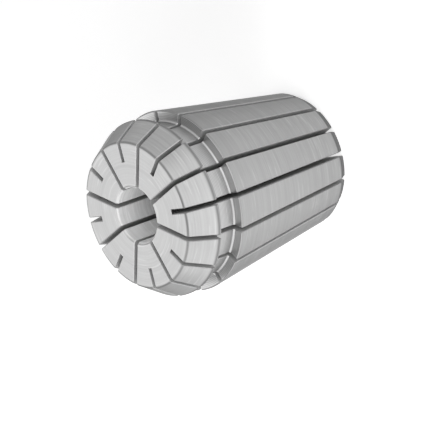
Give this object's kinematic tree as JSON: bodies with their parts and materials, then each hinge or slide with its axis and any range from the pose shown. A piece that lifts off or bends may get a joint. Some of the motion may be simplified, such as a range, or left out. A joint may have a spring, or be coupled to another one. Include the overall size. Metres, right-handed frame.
{
  "type": "er collet",
  "caption": "Slit spring collet with a long rear taper, a short nose cone, an extraction groove and a straight bore that grips a round tool shank.",
  "frame": {"origin": "centre of the rear face, the small end that the collet stands on", "axes": "+Z along the bore from the rear face to the front face; +X through one of the slots that open at the front face"},
  "size_m": [0.033, 0.033, 0.04],
  "materials": {
    "steel": "satin ground"
  },
  "bodies": {
    "root": {"collet": "steel"}
  },
  "joints": []
}
